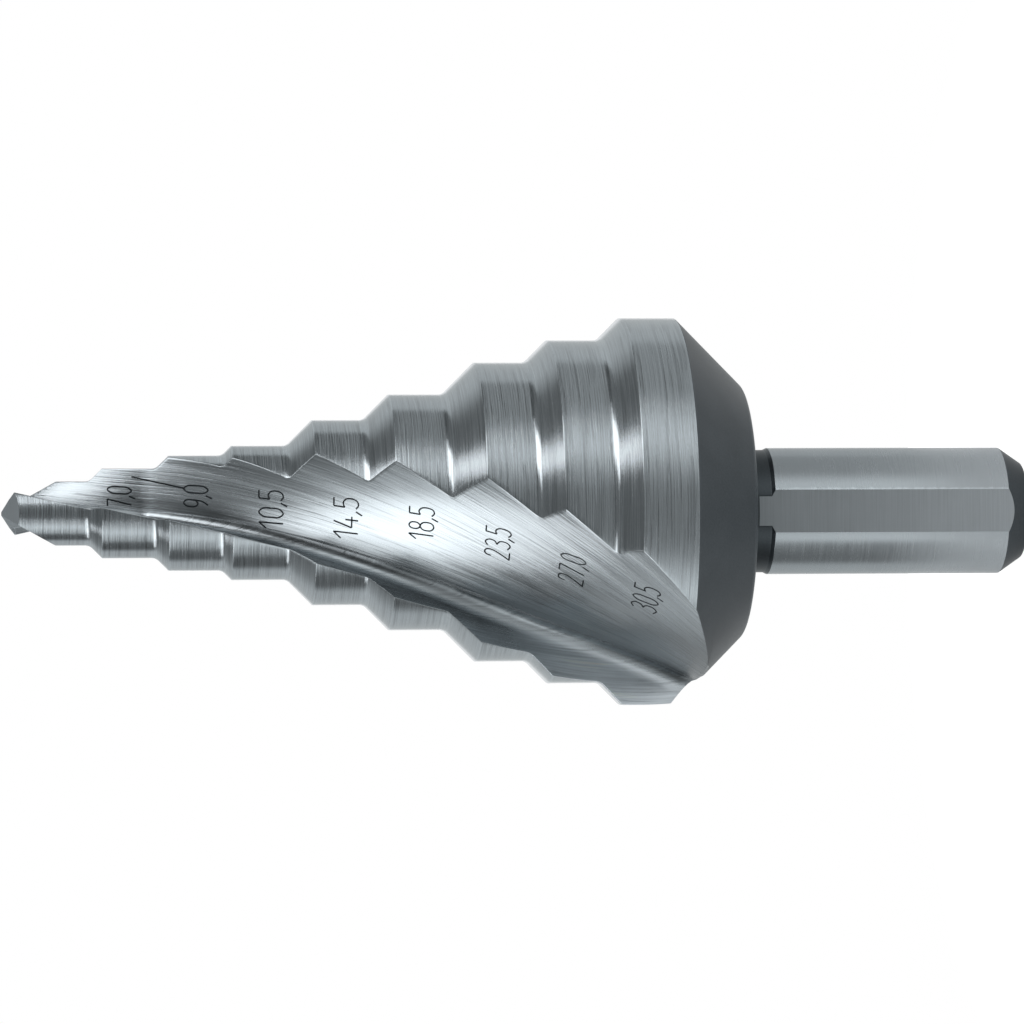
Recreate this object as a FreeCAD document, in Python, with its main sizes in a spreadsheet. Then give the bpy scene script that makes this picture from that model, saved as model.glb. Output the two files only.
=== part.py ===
import FreeCAD, Part
import math
import os

import Sketcher
from FreeCAD import Rotation, Vector

# Step drill for sheet metal, one ground piece of tool steel. It stands on the end of its
# shank: the origin is the centre of that end face and +Z runs along the axis to the point.
# One flat of the shank and the first land behind a lip face -Y. Lengths are millimetres
# and angles degrees.

SIZES = {
    # shank, from the end face up
    "shank_diameter": 10.0,
    "shank_length": 20.3,
    "end_chamfer_width": 1.2,
    "end_chamfer_length": 1.75,
    "flat_distance": 4.71,  # from the axis to each flat
    "flat_runout": 1.3,  # the flats run on past the shank, into the neck
    "neck_diameter": 9.7,
    "neck_chamfer_length": 0.3,
    "neck_length": 1.9,
    # head, from the back face to the point
    "back_cone_length": 5.35,
    "back_cone_angle": 45.0,
    "back_rim_radius": 0.9,
    "step_chamfer_angle": 45.0,
    "step_foot_radius": 0.5,
    "step1_diameter": 5.0,
    "step1_length": 6.8,
    "step2_diameter": 7.0,
    "step2_length": 4.15,
    "step3_diameter": 9.0,
    "step3_length": 4.15,
    "step4_diameter": 10.5,
    "step4_length": 4.3,
    "step5_diameter": 14.5,
    "step5_length": 4.0,
    "step6_diameter": 18.5,
    "step6_length": 4.25,
    "step7_diameter": 23.5,
    "step7_length": 4.0,
    "step8_diameter": 27.0,
    "step8_length": 4.0,
    "step9_diameter": 30.5,
    "step9_length": 4.25,
    # flute, a right-hand spiral: a nearly radial cutting face, a rounded floor and a wide
    # wall behind it that bulges a little and ends in the toothed heel of the other land
    "flute_lead_length": 170.0,  # axial length of one full turn
    "flute_depth": 2.23,  # of the floor below the largest step, at the back face
    "flute_rise_ratio": 0.252,  # the floor comes nearer the axis by this much per millimetre
    "flute_runout_rise": 2.0,  # the floor curves out again by this much at the back face
    "flute_runout_length": 12.0,
    "web_half": 1.2,  # what the flutes leave beside the axis near the point
    "rake_offset": 4.27,  # from the axis to the cutting face's plane, at the back face
    "rake_taper_ratio": 0.074,  # and how fast that falls towards the point
    "wall_radius": 45.9,
    "wall_angle": 88.7,  # between the cutting face and the wide wall
    "floor_radius_back": 1.5,
    "floor_radius_point": 0.5,
    "point_turn_angle": 16.0,  # extra twist that the flute takes on towards the point
    "point_turn_length": 10.0,
    # split point
    "point_slope_angle": 29.5,  # of each end facet, from a plane square to the axis
    "gash_angle": 29.4,  # between the floor of the gash and the axis
    "gash_turn_angle": 48.0,  # where its wall faces, from -Y towards -X
    "chisel_half": 0.12,
}

STEP_COUNT = 9
FLUTE_COUNT = 2
FLAT_COUNT = 3
SECTION_COUNT = 13  # cross-sections that the flute's cut is drawn through
PAST = 1.75  # how far each cut runs past the solid
RAKE_ANGLE_AT_BACK = 180  # the cutting face runs out towards -X where the head ends

# Lengths that several features share, as expressions of the sheet's cells.
TIP = "(Outline.Constraints.tip_height / 1 mm)"
HEAD = f"({TIP} - Sizes.shank_length - Sizes.neck_chamfer_length - Sizes.neck_length)"
SHANK_RADIUS = "Sizes.shank_diameter / 2"
NECK_RADIUS = "Sizes.neck_diameter / 2"
LARGEST_RADIUS = f"Sizes.step{STEP_COUNT}_diameter / 2"
POINT_REACH = f"(Sizes.step1_diameter / 2 + {PAST})"


def tangent(alias):
    return f"tan(Sizes.{alias} * 1 deg)"


def make_sheet(doc):
    sheet = doc.addObject("Spreadsheet::Sheet", "Sizes")
    for row, (alias, value) in enumerate(SIZES.items(), start=1):
        sheet.set(f"A{row}", alias)
        sheet.set(f"B{row}", str(value))
        sheet.setAlias(f"B{row}", alias)
    doc.recompute()


def value(expression):
    """What an expression comes to with the sheet as it is."""
    return float(FreeCAD.ActiveDocument.Sizes.evalExpression(expression))


def origin_feature(body, role):
    return next(item for item in body.Origin.OriginFeatures if item.Role == role)


def make_sketch(body, name, role):
    sketch = body.newObject("Sketcher::SketchObject", name)
    sketch.AttachmentSupport = [(origin_feature(body, role), "")]
    sketch.MapMode = "FlatFace"
    return sketch


def bind(sketch, name, kind, places, expression):
    """Adds a dimension and ties it to the sheet."""
    index = sketch.addConstraint(Sketcher.Constraint(kind, *places, value(expression)))
    sketch.renameConstraint(index, name)
    sketch.setExpression(f"Constraints.{name}", expression)


def add_profile(sketch, corners):
    """Closed outline of straight lines. Each corner is its distance from the vertical axis
    and its rise above the corner before, as expressions."""
    height = 0.0
    points = []
    for across, rise in corners:
        height += value(rise)
        points.append(Vector(value(across), height, 0))
    count = len(corners)
    for here in range(count):
        sketch.addGeometry(Part.LineSegment(points[here], points[(here + 1) % count]), False)
    for here in range(count):
        sketch.addConstraint(Sketcher.Constraint("Coincident", here, 2, (here + 1) % count, 1))
    for here, (across, rise) in enumerate(corners):
        before = (here - 1, 1) if here else (-1, 1)
        if across == "0":
            sketch.addConstraint(Sketcher.Constraint("PointOnObject", here, 1, -2))
        else:
            bind(sketch, f"across{here}", "DistanceX", (-1, 1, here, 1), across)
        if rise == "0":
            sketch.addConstraint(Sketcher.Constraint("Horizontal", *before, here, 1))
        else:
            bind(sketch, f"rise{here}", "DistanceY", (*before, here, 1), rise)


def head_corners():
    """The lands and the chamfers between them, from the largest step to the point."""
    corners = []
    rise = "Sizes.back_cone_length"
    for step in range(STEP_COUNT, 0, -1):
        radius = f"Sizes.step{step}_diameter / 2"
        corners.append((radius, rise))
        corners.append((radius, f"Sizes.step{step}_length"))
        rise = (
            f"(Sizes.step{step}_diameter - Sizes.step{step - 1}_diameter)"
            f" / 2 / {tangent('step_chamfer_angle')}"
        )
    return corners


def make_blank(doc, body):
    """The turned blank. Returns it with the places of its foot corners and back rim."""
    rim = f"{LARGEST_RADIUS} - Sizes.back_cone_length * {tangent('back_cone_angle')}"
    shank = [
        ("0", "0"),
        (f"{SHANK_RADIUS} - Sizes.end_chamfer_width", "0"),
        (SHANK_RADIUS, "Sizes.end_chamfer_length"),
        (SHANK_RADIUS, "Sizes.shank_length - Sizes.end_chamfer_length"),
        (NECK_RADIUS, "Sizes.neck_chamfer_length"),
        (NECK_RADIUS, "Sizes.neck_length"),
        (rim, "0"),
    ]
    outline = make_sketch(body, "Outline", "XZ_Plane")
    corners = shank + head_corners() + [("0", "0")]
    add_profile(outline, corners)
    top = len(corners) - 1
    height = outline.addConstraint(
        Sketcher.Constraint("DistanceY", -1, 1, top, 1, outline.Geometry[top].StartPoint.y)
    )
    outline.setDriving(height, False)
    outline.renameConstraint(height, "tip_height")
    blank = body.newObject("PartDesign::Revolution", "Blank")
    blank.Profile = outline
    blank.ReferenceAxis = (outline, ["V_Axis"])
    blank.Angle = 360
    doc.recompute()

    places = [(line.StartPoint.x, line.StartPoint.y) for line in outline.Geometry]
    back_rim = places[len(shank) - 1]
    first_foot = len(shank) + 2
    feet = places[first_foot:top - 1:2]
    return blank, feet, back_rim


def round_edges(body, name, places, alias):
    """Rounds the circular edges that lie at the given radii and heights."""
    base = body.Tip
    names = []
    for index, edge in enumerate(base.Shape.Edges, start=1):
        if not isinstance(edge.Curve, Part.Circle):
            continue
        circle = (edge.Curve.Radius, edge.Curve.Center.z)
        if any(math.dist(circle, place) < 0.001 for place in places):
            names.append(f"Edge{index}")
    fillet = body.newObject("PartDesign::Fillet", name)
    fillet.Base = (base, names)
    fillet.setExpression("Radius", f"Sizes.{alias}")
    return fillet


def repeat(body, name, feature, count):
    """The feature again, evenly spaced round the axis."""
    pattern = body.newObject("PartDesign::PolarPattern", name)
    pattern.Originals = [feature]
    pattern.Axis = (origin_feature(body, "Z_Axis"), [""])
    pattern.Angle = 360
    pattern.Occurrences = count
    body.Tip = pattern
    return pattern


def flute_section(body, number):
    """One cross-section of the flute's cut, square to the axis, with the cutting face
    along its own +X. An arc joins that face to the bulging arc of the wide wall."""
    share = number / (SECTION_COUNT - 1)
    from_point = f"({share} * ({HEAD} + 2 * {PAST}) - {PAST})"
    to_back = f"({HEAD} - {from_point})"
    runout = f"Sizes.flute_runout_rise * max(0; 1 - {to_back} / Sizes.flute_runout_length) ^ 2"
    depth = f"(Sizes.flute_depth + Sizes.flute_rise_ratio * {to_back} - {runout})"
    floor = f"max(Sizes.web_half; {LARGEST_RADIUS} - {depth})"
    offset = f"(Sizes.rake_offset - Sizes.rake_taper_ratio * {to_back})"
    corner_radius = (
        f"Sizes.floor_radius_point + {share} * (Sizes.floor_radius_back - Sizes.floor_radius_point)"
    )
    tilt = "((90 - Sizes.wall_angle) * 1 deg)"
    centre_across = f"{floor} - Sizes.wall_radius * cos({tilt})"
    centre_up = f"Sizes.wall_radius * sin({tilt}) - {offset}"
    outside = f"{LARGEST_RADIUS} + {PAST}"

    wall_centre = Vector(value(centre_across), value(centre_up), 0)
    wall = value("Sizes.wall_radius")
    corner = value(corner_radius)
    reach = value(outside)
    face = -value(offset)
    corner_centre = Vector(0, face + corner, 0)
    corner_centre.x = wall_centre.x + math.sqrt(
        (wall + corner) ** 2 - (corner_centre.y - wall_centre.y) ** 2
    )
    face_start = Vector(corner_centre.x, face, 0)
    face_end = Vector(reach, face, 0)
    outer = Vector(reach, reach, 0)
    wall_end = Vector(wall_centre.x + math.sqrt(wall**2 - (reach - wall_centre.y) ** 2), reach, 0)
    meeting = (corner_centre - wall_centre).normalize()
    meeting_angle = math.atan2(meeting.y, meeting.x)
    end_angle = math.atan2(wall_end.y - wall_centre.y, wall_end.x - wall_centre.x)

    sketch = make_sketch(body, f"FluteSection{number + 1}", "XY_Plane")
    up = Vector(0, 0, 1)
    wall_arc = Part.ArcOfCircle(Part.Circle(wall_centre, up, wall), meeting_angle, end_angle)
    corner_arc = Part.ArcOfCircle(
        Part.Circle(corner_centre, up, corner), meeting_angle + math.pi, 1.5 * math.pi
    )
    for piece in (
        Part.LineSegment(face_start, face_end),
        Part.LineSegment(face_end, outer),
        Part.LineSegment(outer, wall_end),
        wall_arc,
        corner_arc,
    ):
        sketch.addGeometry(piece, False)
    for places in ((0, 2, 1, 1), (1, 2, 2, 1), (2, 2, 3, 2)):
        sketch.addConstraint(Sketcher.Constraint("Coincident", *places))
    for places in ((3, 1, 4, 1), (4, 2, 0, 1)):
        sketch.addConstraint(Sketcher.Constraint("Tangent", *places))
    for kind, line in (("Horizontal", 0), ("Vertical", 1), ("Horizontal", 2)):
        sketch.addConstraint(Sketcher.Constraint(kind, line))
    bind(sketch, "rake", "DistanceY", (-1, 1, 0, 2), f"-{offset}")
    bind(sketch, "side_reach", "DistanceX", (-1, 1, 1, 2), outside)
    bind(sketch, "top_reach", "DistanceY", (-1, 1, 1, 2), outside)
    bind(sketch, "wall_across", "DistanceX", (-1, 1, 3, 3), centre_across)
    bind(sketch, "wall_up", "DistanceY", (-1, 1, 3, 3), centre_up)
    bind(sketch, "wall", "Radius", (3,), "Sizes.wall_radius")
    bind(sketch, "corner", "Radius", (4,), corner_radius)

    turn = (
        f"{RAKE_ANGLE_AT_BACK} + 360 / Sizes.flute_lead_length * {to_back}"
        f" + Sizes.point_turn_angle * max(0; 1 - {from_point} / Sizes.point_turn_length) ^ 2"
    )
    sketch.AttachmentOffset = FreeCAD.Placement(Vector(), Rotation(up, value(turn)))
    sketch.setExpression("AttachmentOffset.Base.z", f"{TIP} - {from_point}")
    sketch.setExpression("AttachmentOffset.Rotation.Angle", f"({turn}) * 1 deg")
    return sketch


def cut_flutes(body):
    sections = [flute_section(body, number) for number in range(SECTION_COUNT)]
    flute = body.newObject("PartDesign::SubtractiveLoft", "Flute")
    flute.Profile = sections[0]
    flute.Sections = sections[1:]
    return repeat(body, "Flutes", flute, FLUTE_COUNT)


def cut_point(body):
    """Two flat end facets that meet in a short ridge along X."""
    sketch = make_sketch(body, "PointSection", "YZ_Plane")
    drop = f"{POINT_REACH} * {tangent('point_slope_angle')}"
    add_profile(sketch, [
        ("0", TIP),
        (POINT_REACH, f"-{drop}"),
        (POINT_REACH, f"{drop} + {PAST}"),
        (f"-{POINT_REACH}", "0"),
        (f"-{POINT_REACH}", f"-{drop} - {PAST}"),
    ])
    pocket = body.newObject("PartDesign::Pocket", "PointFacets")
    pocket.Profile = sketch
    pocket.SideType = "Symmetric"
    pocket.setExpression("Length", f"2 * {POINT_REACH}")
    return pocket


def cut_gashes(body):
    """The notches behind the lips that split the point.

    The sketch lies in the sloping floor, with its own +X down the slope, and the cut rises
    parallel to the axis: its wall is the cutting face of the other lip near the centre."""
    reach = f"({POINT_REACH} / sin(Sizes.gash_angle * 1 deg))"
    lean = f"({tangent('gash_turn_angle')} * sin(Sizes.gash_angle * 1 deg))"
    sketch = make_sketch(body, "GashFloor", "XY_Plane")
    add_profile(sketch, [
        (f"-{PAST}", f"-{PAST} * {lean}"),
        (f"-{PAST}", f"{PAST} * {lean} - {POINT_REACH}"),
        (reach, "0"),
        (reach, f"{POINT_REACH} + {reach} * {lean}"),
    ])
    turn = "90 + Sizes.gash_angle"
    sketch.AttachmentOffset = FreeCAD.Placement(Vector(), Rotation(Vector(0, 1, 0), value(turn)))
    sketch.setExpression("AttachmentOffset.Base.x", "-Sizes.chisel_half")
    sketch.setExpression("AttachmentOffset.Base.z", TIP)
    sketch.setExpression("AttachmentOffset.Rotation.Angle", f"({turn}) * 1 deg")
    pocket = body.newObject("PartDesign::Pocket", "Gash")
    pocket.Profile = sketch
    pocket.UseCustomVector = True
    pocket.Direction = Vector(0, 0, 1)
    pocket.AlongSketchNormal = False
    pocket.setExpression("Length", reach)
    return repeat(body, "Gashes", pocket, FLUTE_COUNT)


def cut_flats(body):
    side = f"({SHANK_RADIUS} + {PAST})"
    sketch = make_sketch(body, "FlatSection", "XY_Plane")
    add_profile(sketch, [
        (f"-{side}", "-Sizes.flat_distance"),
        (f"-{side}", f"Sizes.flat_distance - {side}"),
        (side, "0"),
        (side, f"{side} - Sizes.flat_distance"),
    ])
    pocket = body.newObject("PartDesign::Pocket", "Flat")
    pocket.Profile = sketch
    pocket.Reversed = True
    pocket.setExpression("Length", "Sizes.shank_length + Sizes.flat_runout")
    return repeat(body, "Flats", pocket, FLAT_COUNT)


def make_drill(doc):
    body = doc.addObject("PartDesign::Body", "StepDrill")
    body.Label = "step_drill"
    blank, feet, back_rim = make_blank(doc, body)
    volume = blank.Shape.Volume
    for make in (
        cut_flutes,
        cut_point,
        cut_gashes,
        cut_flats,
        lambda body: round_edges(body, "StepFeet", feet, "step_foot_radius"),
        lambda body: round_edges(body, "BackRim", [back_rim], "back_rim_radius"),
    ):
        feature = make(body)
        doc.recompute()
        change = feature.Shape.Volume - volume
        volume += change
        print(f"{feature.Name}: {change:+.2f} mm3")
        if abs(change) < 0.01:
            raise RuntimeError(f"{feature.Name} changed nothing")
    return body


def check(doc, body):
    for item in doc.Objects:
        if "Invalid" in item.State or "Error" in item.State:
            raise RuntimeError(f"{item.Name}: {item.State}")
    shape = body.Shape
    if shape.isNull() or not shape.isValid() or len(shape.Solids) != 1:
        raise RuntimeError(f"{body.Label} is not one valid solid")


def main():
    os.makedirs("parts", exist_ok=True)
    doc = FreeCAD.newDocument("StepDrill")
    make_sheet(doc)
    body = make_drill(doc)
    check(doc, body)
    print(f"{body.Label}: {body.Shape.Volume:.1f} mm3, {len(body.Shape.Faces)} faces")
    body.Shape.exportStep(f"parts/{body.Label}.step")


main()
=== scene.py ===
import math
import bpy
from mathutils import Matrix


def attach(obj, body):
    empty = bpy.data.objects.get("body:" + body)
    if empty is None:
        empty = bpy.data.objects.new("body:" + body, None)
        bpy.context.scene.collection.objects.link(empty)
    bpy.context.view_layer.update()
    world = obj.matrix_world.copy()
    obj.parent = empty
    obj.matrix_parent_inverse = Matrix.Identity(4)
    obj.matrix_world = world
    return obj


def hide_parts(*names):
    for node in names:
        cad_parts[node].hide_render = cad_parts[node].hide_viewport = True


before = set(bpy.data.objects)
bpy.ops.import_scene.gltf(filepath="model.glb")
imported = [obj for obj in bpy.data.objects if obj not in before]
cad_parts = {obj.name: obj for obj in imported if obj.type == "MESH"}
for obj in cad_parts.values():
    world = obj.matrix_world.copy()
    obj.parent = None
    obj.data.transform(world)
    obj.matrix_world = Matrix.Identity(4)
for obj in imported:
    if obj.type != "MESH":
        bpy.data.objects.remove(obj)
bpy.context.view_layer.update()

from types import SimpleNamespace

import bmesh
import bpy
from mathutils import Matrix, Quaternion, Vector

# Step drill. The turned outline is drawn once, a Geometry Nodes tree sweeps it round the
# axis and grinds the two spiral flutes into it, and plane cuts make the point and the flats.
# Lengths are metres and +Z runs along the axis to the point.

MM = 0.001

# Turned outline
TIP_HEIGHT = 80.5 * MM
BACK_HEIGHT = 22.5 * MM
SHANK_RADIUS = 5.0 * MM
END_FACE_RADIUS = 3.8 * MM
END_CHAMFER = 1.75 * MM
SHANK_LENGTH = 20.3 * MM
NECK_RADIUS = 4.85 * MM
NECK_CHAMFER = 0.3 * MM
BACK_FACE_RADIUS = 9.9 * MM
BACK_CONE_LENGTH = 5.35 * MM
BACK_RIM = 0.9 * MM
STEP_FOOT = 0.8 * MM
# diameter and length of each land in millimetres, from the largest step to the point
STEPS = [
    (30.5, 4.25), (27.0, 4.0), (23.5, 4.0), (18.5, 4.25), (14.5, 4.0),
    (10.5, 4.3), (9.0, 4.15), (7.0, 4.15), (5.0, 6.8),
]
LARGEST_RADIUS = STEPS[0][0] / 2 * MM
# the blank stands up past the point until the plane cuts take that off
PAST_TIP = 0.8 * MM
CORNER_ROUND = 0.07 * MM
ARC_STEP = math.radians(8)
FEWEST_PARTS = 3
# finishes along the outline, and the longest gap between two rings on each
FINISHES = ["dark", "shank", "ground"]
RING_GAP = {"dark": 0.35 * MM, "shank": 3 * MM, "ground": 0.5 * MM, "corner": math.inf}

# Flutes: the inputs of the tree that grinds them, first their shape
FLUTE_SIZES = {
    "Tip Height": TIP_HEIGHT,
    "Back Height": BACK_HEIGHT,
    "Largest Radius": LARGEST_RADIUS,
    "Lead": 170 * MM,
    "Flute Depth": 2.23 * MM,
    "Flute Rise": 0.252,
    "Runout Rise": 2.0 * MM,
    "Runout Length": 12 * MM,
    "Web Half": 1.2 * MM,
    "Rake Offset": 4.27 * MM,
    "Rake Taper": 0.074,
    "Wall Radius": 45.9 * MM,
    "Wall Tilt": math.radians(1.3),
    "Exit Half Angle": math.radians(10),
    "Bend Radius Point": 0.5 * MM,
    "Bend Radius Back": 1.5 * MM,
    "Bend Reach": 1.75 * MM,
    "Point Turn": math.radians(16),
    "Point Turn Length": 10 * MM,
    "Edge Round": 0.06 * MM,
    # then the painted shade along the bottom, a dark line: its width, a wider spot, and where it
    # fades out
    "Valley Width": 1.1 * MM,
    "Valley In Bend": 1.4,
    "Valley Spot": 27.5 * MM,
    "Spot Reach": 5.5 * MM,
    "Spot Gain": 1.8,
    "Valley Break": 37 * MM,
    "Break Gain": 1.4,
    "Valley End": 41.5 * MM,
    "Valley Fade": 5 * MM,
    # how it widens and deepens towards the back, on the wall and on the cutting face
    "Runout Start": 20.5 * MM,
    "Runout Shade": 0.85,
    "Runout Fade": 6 * MM,
    "Runout Delay": 1.3,
    "Face Width": 3 * MM,
    "Face Shade": 0.7,
    "Face Fade": 8 * MM,
    # and a stretch of the cutting face that is ground coarser, and lightened as painted light
    "Coarse Middle": 12.5 * MM,
    "Coarse Reach": 8.5 * MM,
}
FLUTE_COUNT = 2
# how much of the face and of the land the small rounds of lip and heel take at most
LIP_EDGE_SHARE = 0.4
HEEL_EDGE_SHARE = 0.1
# the middle of a cross-section, and the direction of its own -Y
AXIS = (0.0, 0.0)
DOWN = 1.5 * math.pi
LEAST_RADIUS = 1e-7
CLOSE = 0.002 * MM
NEARLY_ALL = 0.999
# the pieces of half a cross-section, in order, with the faces that each one has
PATCHES = {"lip": 3, "face": 10, "bend": 8, "wall": 34, "heel": 3, "land": 52}

# Plane cuts
PAST = 1.75 * MM
FLAT_DISTANCE = 4.71 * MM
FLAT_RUNOUT = 1.3 * MM
FLAT_COUNT = 3
POINT_SLOPE = math.radians(29.5)
GASH_ANGLE = math.radians(29.4)
GASH_TURN = math.radians(48)
CHISEL_HALF = 0.12 * MM

# Edges that stay sharp when the surfaces are smoothed
BODY_SHARP = math.radians(14)
MARK_SHARP = math.radians(60)
NORMAL_WEIGHT = 100

# Size numbers on the flute that faces -Y: text, middle across and along the axis and length
# of the line of figures in millimetres, and the figures' lean along the flute in degrees
NUMBER_HEIGHT = 1.86
NUMBERS = [
    ("7,0", 1.3, 71.35, 1.7, 4),
    ("9,0", 1.3, 65.45, 1.8, 4),
    ("10,5", 0.25, 59.7, 3.1, 5),
    ("14,5", -0.45, 54.0, 3.3, 7),
    ("18,5", -0.85, 48.3, 2.6, 8),
    ("23,5", -2.35, 42.55, 2.35, 15),
    ("27,0", -4.4, 36.95, 2.15, 20),
    ("30,5", -6.65, 31.4, 1.9, 22),
]
SCRATCH = [(2.85, 70.4), (2.4, 68.4), (1.95, 66.4)]
# the strokes are drawn this far in front of the axis and laid on the drill from there
IN_FRONT = 20 * MM
STROKE_SIZES = {"Stroke Radius": 0.085 * MM, "Sink": 0.05 * MM, "Spacing": 0.08 * MM}
STROKE_SIDES = 8
FIGURE_GAP = 0.18
# width of each figure and its strokes; a stroke that ends where it starts is a closed loop
FIGURES = {
    "0": (1.0, [
        [
            (0.5, 1), (0.14, 0.82), (0.1, 0.5), (0.14, 0.18), (0.5, 0),
            (0.86, 0.18), (0.9, 0.5), (0.86, 0.82), (0.5, 1),
        ],
    ]),
    "1": (0.8, [[(0.1, 0.7), (0.6, 1)], [(0.6, 1), (0.6, 0)]]),
    "2": (1.0, [
        [(0.12, 0.74), (0.22, 0.94), (0.5, 1), (0.8, 0.92), (0.86, 0.7), (0.6, 0.4), (0.1, 0)],
        [(0.1, 0), (0.92, 0)],
    ]),
    "3": (1.0, [
        [(0.12, 0.9), (0.5, 1), (0.84, 0.86), (0.8, 0.64), (0.45, 0.53)],
        [(0.45, 0.53), (0.85, 0.42), (0.9, 0.16), (0.55, 0), (0.1, 0.1)],
    ]),
    "4": (1.0, [
        [(0.5, 1), (0.06, 0.26)], [(0.06, 0.26), (0.95, 0.26)], [(0.68, 0.52), (0.68, 0)],
    ]),
    "5": (1.0, [
        [(0.88, 1), (0.2, 1)], [(0.2, 1), (0.16, 0.56)],
        [(0.16, 0.56), (0.5, 0.62), (0.84, 0.5), (0.9, 0.26), (0.74, 0.06), (0.4, 0), (0.1, 0.1)],
    ]),
    "7": (1.0, [[(0.1, 1), (0.9, 1)], [(0.9, 1), (0.4, 0)]]),
    "8": (1.0, [
        [(0.5, 1), (0.2, 0.9), (0.2, 0.66), (0.5, 0.55), (0.8, 0.66), (0.8, 0.9), (0.5, 1)],
        [(0.5, 0.55), (0.12, 0.42), (0.12, 0.12), (0.5, 0), (0.88, 0.12), (0.88, 0.42), (0.5, 0.55)],
    ]),
    "9": (1.0, [
        [(0.5, 1), (0.16, 0.86), (0.16, 0.54), (0.5, 0.42), (0.84, 0.54), (0.84, 0.86), (0.5, 1)],
        [(0.86, 0.7), (0.8, 0.3), (0.4, 0)],
    ]),
    ",": (0.16, [[(0.22, 0.1), (-0.05, -0.16)]]),
}

# Colours and surface detail
MICRON = 0.001 * MM
DARK_STEEL = (0.06, 0.0695, 0.0765)
BRIGHT_STEEL = (0.52, 0.566, 0.598)
FINE_DETAIL = 3.0
CRISP_START = 0.3
CRISP_GAIN = 2.5
QUARTER_TURN = 0.25

# Camera: it looks along +Y, with +X up in the picture and the point on the left
CAMERA_FOCUS = 40.55 * MM
CAMERA_DISTANCE = 340 * MM
CAMERA_YAW = math.radians(6)
CAMERA_ROLL = math.radians(0.21)
CAMERA_REACH = (0.01, 20.0)
PIXELS_PER_MM = 12.7
PICTURE_WIDTH = 1024
SENSOR_WIDTH = 36.0

# Studio: light by direction. A turn is in degrees round the drill from the camera's side,
# and a rise is -1 straight down and 1 straight up. Upper and lower are the picture's sides.
# A pair is where a smooth change starts and ends.
DIM_ROOM = 0.072
LOW_LIGHT = 0.05
LOW_RISE = (-0.5, -0.25)
HIGH_LIGHT = 0.09
HIGH_RISE = (0.1, 0.4)
TABLE_LIGHT = 0.27
TABLE_RISE = (-0.16, 0.0)
TABLE_LOWER_DIM = 0.4
TABLE_LOWER = (0.75, 0.95)
PALE_ROOM = 0.56
PALE_UPPER = (0.45, 0.49)
PALE_LOWER = (0.2, 0.5)
PALE_TOP_DIM = 0.5
PALE_TOP = (0.45, 0.7)
BACKDROP = (0.95, 0.97)
# glows: where one starts, is full, starts to fade and ends, and leans that shift its start
# or end from some rise on
GLOW_RISE = (-0.38, -0.2, 0.45, 0.8)
UPPER_GLOW = 0.62
UPPER_SPREAD = (9.0, 39.0, 46.0, 78.0)
UPPER_START_LEAN = 27.0
UPPER_END_LEAN = -14.0
UPPER_LEAN_RISE = (-0.13, 0.0)
FLANK_GLOW = 0.17
FLANK_SPREAD = (16.0, 44.0, 110.0, 140.0)
LOWER_GLOW = 0.8
LOWER_SPREAD = (14.0, 56.0, 48.0, 66.0)
LOWER_END_LEAN = 20.0
LOWER_LEAN_RISE = (-0.05, 0.0)
ROOM_COLOUR = (0.97, 1.0, 1.0, 1)
WHITE = (1, 1, 1, 1)
FLOOR_RADIUS = 45 * MM
FLOOR_SIDES = 128
FLOOR_COLOUR = (0.8, 0.8, 0.8, 1)
FLOOR_ROUGHNESS = 0.9
FLOOR_GLOW = 0.85
FLOOR_MIRRORED = 0.3
# area lights: turn and lift in degrees, width and height in metres, strength, roll in degrees
LIGHT_DISTANCE = 0.6
LIGHTS = {
    "upper_softbox": (50, 33, 0.32, 0.6, 1.9, 0),
    "tip_lamp": (67, 10, 0.14, 0.07, 1.6, 0),
    "lower_softbox": (-58, 26.8, 0.92, 0.172, 1.38, -5),
    "upper_top_softbox": (90, 69, 0.22, 0.1, 1.55, 0),
    "lower_top_softbox": (-90, 66, 0.22, 0.1, 0.9, 0),
}


class Term:
    """A number in a node tree. Arithmetic on terms adds the Math nodes that work it out."""

    def __init__(self, tree, socket):
        self.tree = tree
        self.socket = socket

    def apply(self, operation, *others):
        node = self.tree.nodes.new("ShaderNodeMath")
        node.operation = operation
        for place, item in zip(node.inputs, (self, *others)):
            if isinstance(item, Term):
                self.tree.links.new(item.socket, place)
            else:
                place.default_value = item
        return Term(self.tree, node.outputs[0])

    def __add__(self, other):
        return self.apply("ADD", other)

    __radd__ = __add__

    def __sub__(self, other):
        return self.apply("SUBTRACT", other)

    def __rsub__(self, other):
        return (-self) + other

    def __mul__(self, other):
        return self.apply("MULTIPLY", other)

    __rmul__ = __mul__

    def __truediv__(self, other):
        return self.apply("DIVIDE", other)

    def __neg__(self):
        return self.apply("MULTIPLY", -1.0)

    def __gt__(self, other):
        return self.apply("GREATER_THAN", other)

    def __lt__(self, other):
        return self.apply("LESS_THAN", other)

    def max(self, other):
        return self.apply("MAXIMUM", other)

    def min(self, other):
        return self.apply("MINIMUM", other)

    def root(self):
        return self.apply("SQRT")

    def sin(self):
        return self.apply("SINE")

    def cos(self):
        return self.apply("COSINE")

    def arccos(self):
        return self.apply("ARCCOSINE")

    def floor(self):
        return self.apply("FLOOR")

    def clamp(self):
        return self.max(0.0).min(1.0)


def pick(condition, yes, no):
    """yes where the condition is 1 and no where it is 0. Both may be points."""
    if isinstance(yes, tuple):
        return tuple(pick(condition, a, b) for a, b in zip(yes, no))
    return no + condition * (yes - no)


def size_of(point):
    return (point[0] * point[0] + point[1] * point[1]).root()


def direction_of(point):
    return point[1].apply("ARCTAN2", point[0])


def heading(start, end):
    """Direction from one point to another."""
    return direction_of((end[0] - start[0], end[1] - start[1]))


def on_circle(centre, radius, turn):
    return centre[0] + radius * turn.cos(), centre[1] + radius * turn.sin()


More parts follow.
